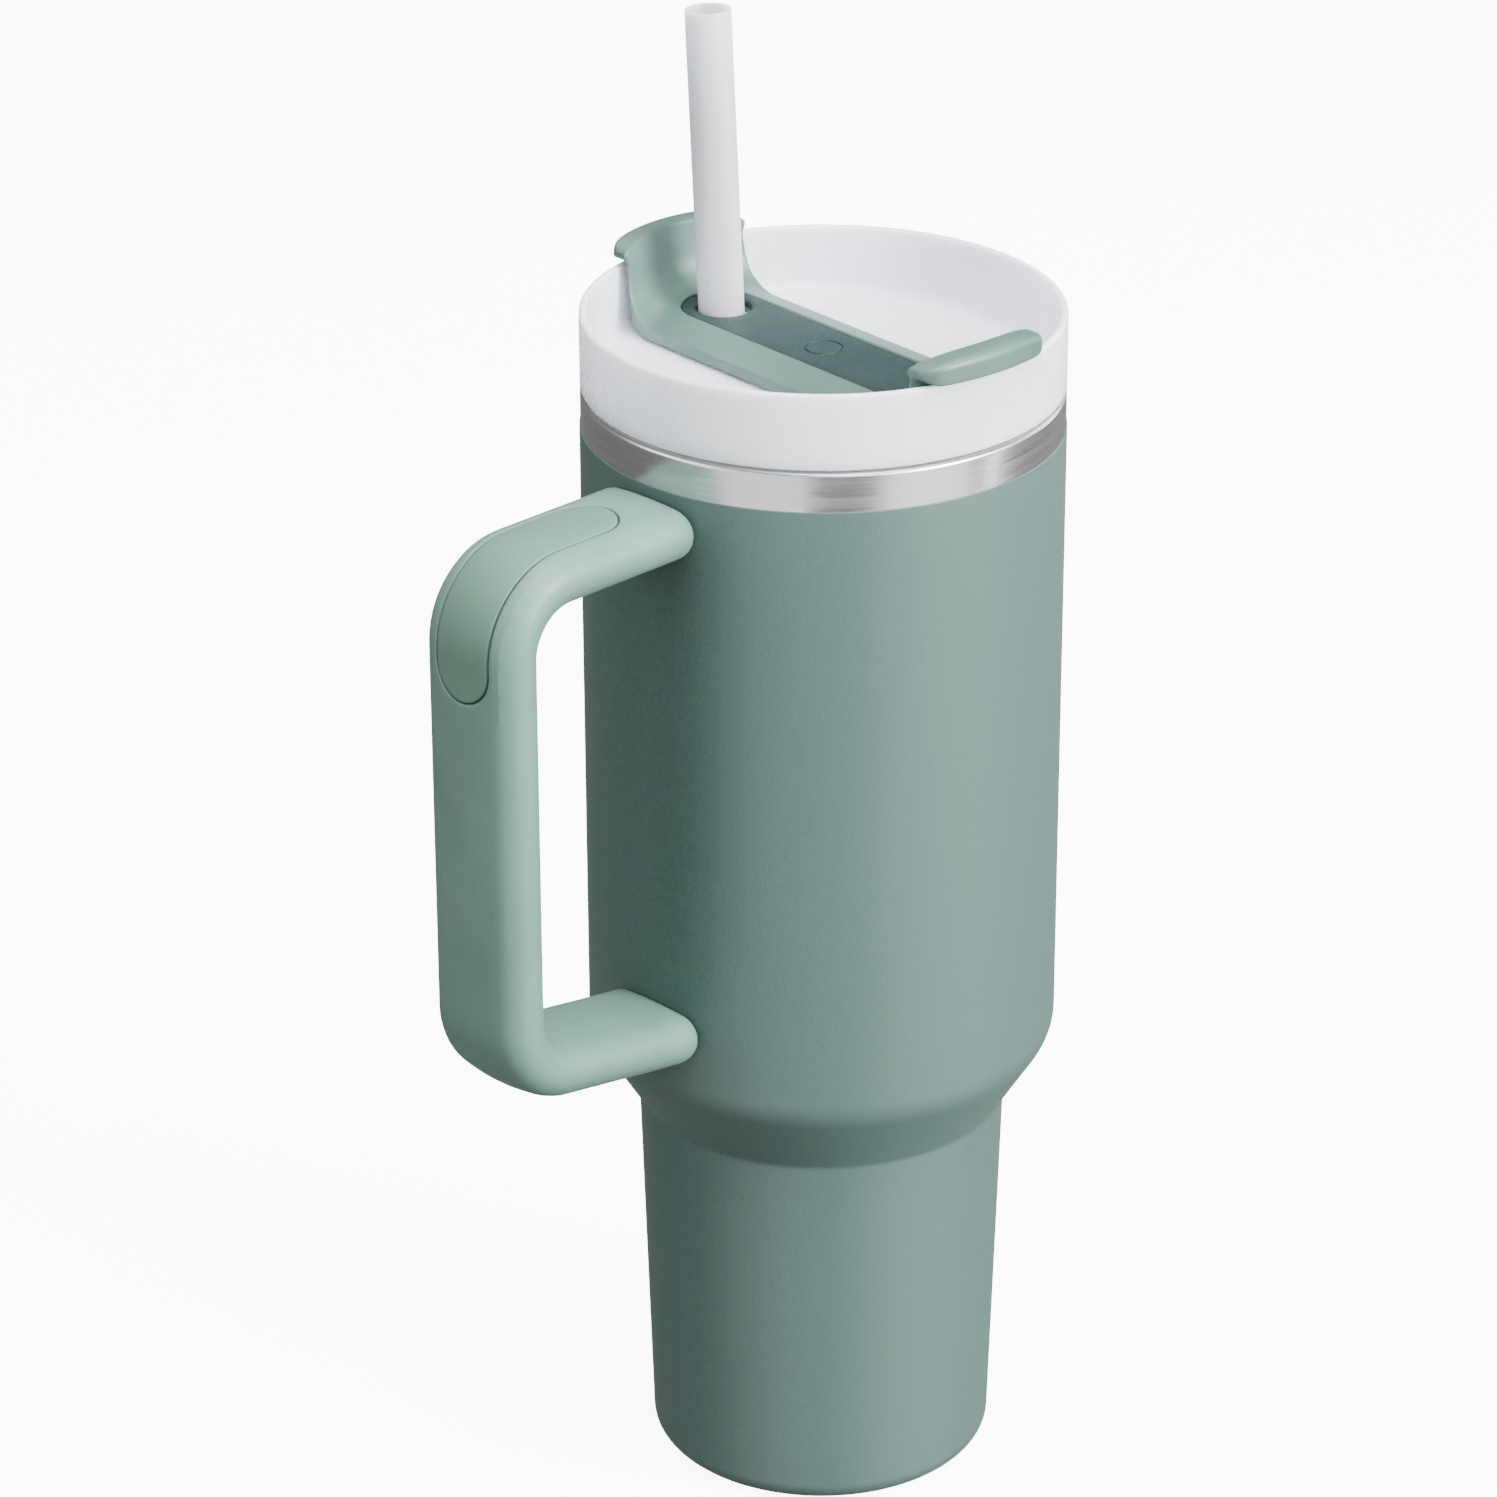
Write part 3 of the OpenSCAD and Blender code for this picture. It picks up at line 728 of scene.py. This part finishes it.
def surface(distance, low, high, step):
    """Meshes the zero level of a distance function and lays its points on that level."""
    axes = [np.arange(low[i], high[i] + step, step) for i in range(3)]
    grid = np.meshgrid(*axes, indexing="ij")
    field = distance(*grid)
    sign = field < 0
    corner = np.zeros(tuple(n - 1 for n in field.shape), int)
    for dx in (0, 1):
        for dy in (0, 1):
            for dz in (0, 1):
                corner += sign[dx:sign.shape[0] - 1 + dx, dy:sign.shape[1] - 1 + dy,
                               dz:sign.shape[2] - 1 + dz]
    cells = (corner > 0) & (corner < 8)
    number = -np.ones(cells.shape, int)
    where = np.argwhere(cells)
    number[cells] = np.arange(len(where))
    total = np.zeros((len(where), 3))
    hits = np.zeros(len(where))
    for axis in range(3):
        for u in (0, 1):
            for w in (0, 1):
                a = where.copy()
                others = [i for i in range(3) if i != axis]
                a[:, others[0]] += u
                a[:, others[1]] += w
                b = a.copy()
                b[:, axis] += 1
                fa, fb = field[tuple(a.T)], field[tuple(b.T)]
                cut = (fa < 0) != (fb < 0)
                t = np.where(cut, fa / np.where(cut, fa - fb, 1), 0)
                at = a + 0.0
                at[:, axis] += t
                total += np.where(cut[:, None], at, 0)
                hits += cut
    verts = np.array(low) + step * total / hits[:, None]
    faces = []
    for axis in range(3):
        others = [i for i in range(3) if i != axis]
        a = [slice(None)] * 3
        b = [slice(None)] * 3
        a[axis], b[axis] = slice(0, -1), slice(1, None)
        edge = np.argwhere(sign[tuple(a)] != sign[tuple(b)])
        rising = sign[tuple(a)][tuple(edge.T)]
        quad = []
        for u, w in ((0, 0), (1, 0), (1, 1), (0, 1)):
            cell = edge.copy()
            cell[:, others[0]] -= u
            cell[:, others[1]] -= w
            quad.append(number[tuple(cell.T)])
        quad = np.array(quad).T
        if axis == 1:
            rising = ~rising
        quad[~rising] = quad[~rising][:, ::-1]
        faces += quad.tolist()
    small = 0.02

    def slope(p):
        """The distance function's slope at points, by central differences."""
        parts = []
        for axis in range(3):
            ahead, behind = p.copy(), p.copy()
            ahead[:, axis] += small
            behind[:, axis] -= small
            parts.append((distance(*ahead.T) - distance(*behind.T)) / (2 * small))
        return np.array(parts).T

    for _ in range(4):
        g = slope(verts)
        square = np.maximum((g * g).sum(axis=1), 0.05)
        move = (distance(*verts.T) / square)[:, None] * g
        length = np.linalg.norm(move, axis=1)
        verts -= move * np.minimum(1, 0.5 * step / np.maximum(length, 1e-9))[:, None]
    g = slope(verts)
    return verts, faces, g / np.maximum(np.linalg.norm(g, axis=1), 1e-9)[:, None]


# ---------------------------------------------------------------- lid


def build_lid():
    """The frosted lid in one piece: plug with thread and groove, skirt, rim and deck."""
    plug_in, groove_in = PLUG_R - PLUG_T, PLUG_R - GROOVE_DEPTH
    low, high = PLUG_Z + 6, MOUTH_Z - 1.5
    wall = [(PLUG_R, z, 0) for z in np.arange(low - 0.7, high + 0.7, THREAD_STEP)]
    groove_z = GASKET_LOW - 0.1
    groove_top = groove_z + (GASKET_HIGH - GASKET_LOW + 0.2)
    profile = spread_out(rounded([
        (0, DECK_Z - DECK_T, 0), (plug_in, DECK_Z - DECK_T, 1.5), (plug_in, PLUG_Z, 0.8),
        (PLUG_R, PLUG_Z, 0.8), (PLUG_R, groove_z, 0), (groove_in, groove_z, 0),
        (groove_in, groove_top, 0), (PLUG_R, groove_top, 0), *wall,
        (PLUG_R, SKIRT_Z, 0.3), (RING_R, SKIRT_Z, 0.45), (RING_R, RIM_Z, 0.72),
        (WELL_R, RIM_Z, 0.72), (WELL_R - 0.5, DECK_Z, DECK_FILLET), (0, DECK_Z, 0)], 8), 6)
    count = len(profile) - 2
    segments = 256

    def bulge(angle, r, z):
        on_wall = abs(r - PLUG_R) < 0.01 and low < z < high
        return thread(angle, z, low, high, 0.45) if on_wall else 0.0

    verts, faces = revolve_open(profile[1:-1], segments, bulge)
    # The deck's two faces end at the round hole for the pivot
    rings = []
    for z in (DECK_Z - DECK_T, DECK_Z):
        rings.append(len(verts))
        verts += [(x, y, z) for x, y in ring_of(HUB_R, (0, 0), segments)]
    for s in range(segments):
        n = (s + 1) % segments
        a, b = s * count, n * count
        faces.append((a, b, rings[0] + n, rings[0] + s))
        faces.append((a + count - 1, rings[1] + s, rings[1] + n, b + count - 1))
        faces.append((rings[0] + s, rings[0] + n, rings[1] + n, rings[1] + s))
    lid = make("frosted_lid", lid_turned(verts), outwards(verts, faces), "frosted_plastic",
               "lid", ["lid_rim", "lid_deck", "lid_plug"])
    cut_opening(lid)


def cut_opening(lid):
    """Cuts the drinking opening, a kidney about the lid's axis, through the deck."""
    half_w, half_angle = OPENING_HALF_W, OPENING_HALF_ANGLE
    outline = []
    for k in range(17):
        a = math.pi / 2 - half_angle + 2 * half_angle * k / 16
        outline.append(((STRAW_RHO + half_w) * math.cos(a), (STRAW_RHO + half_w) * math.sin(a)))
    for side, flip in ((1, 0), (-1, math.pi)):
        a = math.pi / 2 + side * half_angle
        centre = (STRAW_RHO * math.cos(a), STRAW_RHO * math.sin(a))
        for k in range(1, 16):
            b = a + flip + math.pi * k / 16
            outline.append((centre[0] + half_w * math.cos(b), centre[1] + half_w * math.sin(b)))
        if side == 1:
            for k in range(17):
                c = a - 2 * half_angle * k / 16
                outline.append(((STRAW_RHO - half_w) * math.cos(c),
                                (STRAW_RHO - half_w) * math.sin(c)))
    count = len(outline)
    points = [(x, y, z) for z in (DECK_Z - 5, DECK_Z + 2) for x, y in outline]
    faces = [list(range(count))[::-1], list(range(count, 2 * count))]
    faces += [(i, (i + 1) % count, count + (i + 1) % count, count + i) for i in range(count)]
    mesh = bpy.data.meshes.new("opening")
    mesh.from_pydata((lid_turned(points) * MM).tolist(), [], faces)
    cutter = bpy.data.objects.new("opening", mesh)
    bpy.context.scene.collection.objects.link(cutter)
    cut = lid.modifiers.new("opening", "BOOLEAN")
    cut.operation = "DIFFERENCE"
    cut.solver = "EXACT"
    cut.object = cutter
    with bpy.context.temp_override(object=lid, active_object=lid):
        bpy.ops.object.modifier_apply(modifier=cut.name)
    bpy.data.objects.remove(cutter)
    lid.data.set_sharp_from_angle(angle=math.radians(SHARP))


def build_gasket():
    inner, outer = 43.6, 45.2
    low, high = GASKET_LOW, GASKET_HIGH
    middle = (low + high) / 2
    profile = rounded([
        (inner, low, 0.2), (outer - 0.7, low, 0.3), (outer, middle - 0.5, 0.35),
        (outer - 0.45, middle, 0.2), (outer, middle + 0.5, 0.35), (outer - 0.7, high, 0.3),
        (inner, high, 0.2)], 4)
    verts, faces = revolve(profile, 192)
    make("silicone_gasket", verts, outwards(verts, faces), "silicone", "gasket", ["lid_gasket"])


# ---------------------------------------------------------------- rotating cover


def stadium(x, y, half_w, end):
    """Signed distance to a strip along Y with round ends."""
    return np.hypot(x, y - np.clip(y, -end + half_w, end - half_w)) - half_w


def flange_outline():
    """What the finger flanges' wall and lip may fill, in (distance from the axis, height)."""
    wall = WELL_R - 0.8
    out = RING_R + 1.8
    return [tuple(p) for p in rounded([
        (0, COVER_Z, 0), (wall - 1.9, COVER_Z, 3.2), (wall, RIM_Z - 5, 4),
        (wall, RIM_Z + 0.3, 0.6), (out, RIM_Z + 0.3, 0.5), (out, FLANGE_TOP - 0.3, 2.0),
        (out - 3.4, FLANGE_CROWN, 2.4), (0, FLANGE_CROWN, 0)], 10)]


def cover_distance(x, y, z):
    """Signed distance to the cover's frame: a bar with a sloping roof that rises at both ends
    into arched finger flanges, less the strip's pocket and the straw's hole."""
    rho = np.hypot(x, y)
    ax = np.abs(x)
    edge = STRIP_HALF_W + 0.45
    slope = math.atan2(STRIP_TOP - COVER_EDGE_Z, COVER_HALF_W - edge)
    roof = (ax - edge) * math.sin(slope) + (z - STRIP_TOP) * math.cos(slope)
    roof = smooth_max(roof, z - STRIP_TOP, 0.3)
    inner = WELL_R - 2.8 + 0.10 * (z - STRIP_TOP - 6) - rho
    inner = smooth_max(inner, z - FLANGE_CROWN, 1.2)
    rising = smooth_min(roof, inner, 7.5)
    arch = np.hypot(x, z - (FLANGE_TOP + 0.6 - FLANGE_ARCH_R)) - FLANGE_ARCH_R
    flange = smooth_max(polygon_distance(rho, z, flange_outline()), ax - FLANGE_HALF_W, 5.0)
    flange = smooth_max(flange, arch, 1.2)
    bar = smooth_max(ax - COVER_HALF_W, rho - (WELL_R - 2.9), 6.0)
    bar = smooth_max(bar, COVER_Z - z, 1.0)
    body = smooth_max(rising, smooth_min(flange, bar, 0.8), 0.8)
    pocket = smooth_max(stadium(x, y, STRIP_HALF_W + 0.2, STRIP_END + 0.2),
                        STRIP_TOP - STRIP_T - z, 0.1)
    body = smooth_max(body, -pocket, 0.25)
    hole = np.hypot(x, y - STRAW_RHO) - STRAW_HOLE_R
    return np.maximum(body, -hole)


def build_cover():
    half_w, half_l, spare = 17.6, 51.8, 0.9
    verts, faces, normals = surface(
        cover_distance, (-half_w, -half_l, COVER_Z - spare),
        (half_w, half_l, FLANGE_TOP + spare), COVER_GRID)
    make("cover_frame", lid_turned(verts), faces, "cover_plastic", "cover",
         ["rotating_cover"], normals=lid_turned(normals))


def build_strip():
    """The dark strip in the cover, with its straw hole and a plain ring pressed into it."""
    end = STRIP_END - STRIP_HALF_W
    # Each outline's step from the edge, the hole or the mark's middle, and its depth
    edge = [(0.0, 0.25), (0.05, 0.1), (0.14, 0.03), (0.3, 0.0)]
    hole = [(0.0, 0.45), (0.08, 0.2), (0.22, 0.06), (0.42, 0.0)]
    mark = [(-0.32, 0.0), (-0.15, 0.3), (0.15, 0.3), (0.32, 0.0)]
    points, depths, loops = [], [], []

    def loop(ring, depth):
        loops.append(list(range(len(points), len(points) + len(ring))))
        points.extend(ring)
        depths.extend([depth] * len(ring))

    for inset, depth in edge:
        loop(ring_of(STRIP_HALF_W - inset, (0, 0), 96, end), depth)
    for grow, depth in hole:
        loop(ring_of(STRAW_HOLE_R + grow, (0, STRAW_RHO), 64), depth)
    for away, depth in mark:
        loop(ring_of(MARK_R + away, (0, 0), 64), depth)
    for y in np.arange(-end, end + 0.1, 2.5):
        for x in np.arange(-5.0, 5.1, 2.5):
            clear_hole = math.hypot(x, y - STRAW_RHO) > STRAW_HOLE_R + 1.2
            clear_mark = abs(math.hypot(x, y) - MARK_R) > 1.2
            if clear_hole and clear_mark:
                points.append((x, y))
                depths.append(0.0)
    flat_verts, flat_faces = triangulate(points, loops)
    tops = []
    for x, y in flat_verts:
        near = min(range(len(points)),
                   key=lambda i: (points[i][0] - x) ** 2 + (points[i][1] - y) ** 2)
        tops.append((x, y, STRIP_TOP - 0.2 - depths[near]))
    unders = [(x, y, STRIP_TOP - STRIP_T + 0.02) for x, y in flat_verts]
    faces = []
    for f in flat_faces:
        cx, cy = np.mean([flat_verts[i] for i in f], axis=0)
        if math.hypot(cx, cy - STRAW_RHO) < STRAW_HOLE_R - 0.01:
            continue
        faces.append(list(f))
    count = len(tops)
    sides = [(a, b, b + count, a + count) for a, b in rim_edges(faces)]
    faces += [[i + count for i in reversed(f)] for f in faces] + sides
    verts, faces = only_used(tops + unders, faces)
    verts = lid_turned(verts)
    make("cover_strip", verts, outwards(verts, faces), "insert_plastic", "cover",
         ["cover_insert"], sharp=40)


def straw_frame(points):
    """Points of the straw's own frame (Z along its axis) as it stands in the lid."""
    p = np.asarray(points, float)
    c, s = math.cos(STRAW_LEAN), math.sin(STRAW_LEAN)
    leaned = np.column_stack((p[:, 0], p[:, 1] * c + p[:, 2] * s, -p[:, 1] * s + p[:, 2] * c))
    return lid_turned(leaned + np.array(STRAW_PASS))


def build_straw():
    top = STRAW_L - STRAW_BELOW
    profile = rounded([
        (STRAW_R - STRAW_WALL, -STRAW_BELOW, 0.2), (STRAW_R, -STRAW_BELOW, 0.3),
        (STRAW_R, top, 0.3), (STRAW_R - STRAW_WALL, top, 0.2)], 5)
    verts, faces = revolve(split_long(profile, 20), 72)
    faces = outwards(verts, faces)
    make("drinking_straw", straw_frame(verts), faces, "straw_plastic", "straw", ["straw"])


# ---------------------------------------------------------------- stage, light, camera


def build_stage():
    mesh = bpy.data.meshes.new("floor")
    size = 6.0
    mesh.from_pydata([(-size, -size, 0), (size, -size, 0), (size, size, 0), (-size, size, 0)],
                     [], [(0, 1, 2, 3)])
    floor = bpy.data.objects.new("floor", mesh)
    bpy.context.scene.collection.objects.link(floor)
    n = Nodes("floor", Roughness=0.9, Emission_Strength=9.0)
    n.shader.inputs["Emission Color"].default_value = (1, 1, 1, 1)
    n.plug("Base Color", n.mix(n.noise(3, 2), (0.86, 0.86, 0.87, 1), (0.9, 0.9, 0.9, 1)))
    mesh.materials.append(n.mat)
    floor.visible_diffuse = False
    floor.visible_glossy = False
    floor.visible_shadow = False


# The photograph's side of the cup, as an azimuth; the lights are placed relative to it, and
# face the cup's axis at MIDDLE_Z, in metres
FRONT = -46
MIDDLE_Z = 0.14


def around(turn, elevation, distance, height=MIDDLE_Z):
    """A place round the cup: turn degrees to the right of the front, and an elevation."""
    a, e = math.radians(FRONT + turn), math.radians(elevation)
    return (math.sin(a) * math.cos(e) * distance, -math.cos(a) * math.cos(e) * distance,
            height + math.sin(e) * distance)


def area(name, turn, elevation, distance, size, power, shine_only=False):
    """A soft rectangular light that faces the cup; shine_only ones show in reflections."""
    light = bpy.data.lights.new(name, "AREA")
    light.shape = "RECTANGLE"
    light.size, light.size_y = size
    light.energy = power
    lamp = bpy.data.objects.new(name, light)
    where = around(turn, elevation, distance)
    lamp.location = where
    aim = Vector((0, 0, MIDDLE_Z)) - Vector(where)
    lamp.rotation_euler = aim.to_track_quat("-Z", "Y").to_euler()
    lamp.visible_camera = False
    lamp.visible_diffuse = not shine_only
    bpy.context.scene.collection.objects.link(lamp)


def build_world():
    """Soft light all round, falling to a dark side on the left."""
    world = bpy.data.worlds.new("studio")
    bpy.context.scene.world = world
    world.use_nodes = True
    tree = world.node_tree
    bright = Vector(around(55, 10, 1, 0)).normalized()
    where = tree.nodes.new("ShaderNodeTexCoord")
    side = tree.nodes.new("ShaderNodeVectorMath")
    side.operation = "DOT_PRODUCT"
    side.inputs[1].default_value = bright
    level = tree.nodes.new("ShaderNodeMapRange")
    level.interpolation_type = "SMOOTHSTEP"
    for key, value in (("From Min", -0.95), ("From Max", 0.1), ("To Min", 0.27), ("To Max", 0.5)):
        level.inputs[key].default_value = value
    tree.links.new(where.outputs["Generated"], side.inputs[0])
    tree.links.new(side.outputs["Value"], level.inputs["Value"])
    tree.links.new(level.outputs["Result"], tree.nodes["Background"].inputs["Strength"])
    tree.nodes["Background"].inputs["Color"].default_value = (1, 1, 1, 1)


def build_lights():
    """Lamps that light the cup, then cards that only show in its shine."""
    area("key", 58, 24, 1.3, (0.5, 0.7), 56)
    area("front", 14, 40, 1.5, (0.4, 0.4), 5)
    area("top", 40, 80, 1.2, (0.9, 0.9), 34)
    area("side", 125, 12, 1.5, (0.6, 0.9), 9)
    area("left", -75, 22, 1.5, (0.9, 0.9), 9)
    area("fill", -150, 40, 1.5, (0.6, 0.6), 5)
    area("card_left", -40, -12, 1.4, (1.3, 2.4), 16, True)
    area("card_middle", -11, -12, 1.4, (0.06, 2.4), 3, True)
    area("card_right", 50, -12, 1.4, (1.1, 2.4), 22, True)
    area("card_edge", 85, -12, 1.4, (0.12, 2.4), 7, True)


def build_camera():
    view = bpy.data.cameras.new("camera")
    view.lens_unit = "MILLIMETERS"
    view.sensor_width = 36
    view.lens = 138.68
    view.clip_end = 50
    camera = bpy.data.objects.new("camera", view)
    place = (-0.77592, -0.74930, 0.66064)
    forward = Vector((0.64359, 0.63929, -0.42083)).normalized()
    right = forward.cross(Vector((0, 0, 1))).normalized()
    up = right.cross(forward)
    roll = math.radians(-0.18)
    x_axis = math.cos(roll) * right + math.sin(roll) * up
    y_axis = math.cos(roll) * up - math.sin(roll) * right
    camera.matrix_world = Matrix((
        (x_axis[0], y_axis[0], -forward[0], place[0]),
        (x_axis[1], y_axis[1], -forward[1], place[1]),
        (x_axis[2], y_axis[2], -forward[2], place[2]),
        (0, 0, 0, 1)))
    bpy.context.scene.collection.objects.link(camera)
    bpy.context.scene.camera = camera


def dress_cad():
    """Gives every CAD node its slot's material."""
    for row in frame["record"]["subparts"]:
        node = frame["nodes"][row["node"]]
        node.data.materials.clear()
        node.data.materials.append(MATERIALS[row["material_slot"]])


build_camera()
dress_cad()
build_shell()
build_mouth_ring()
build_liner()
build_base()
build_handle()
build_lid()
build_gasket()
build_cover()
build_strip()
build_straw()
build_stage()
build_world()
build_lights()
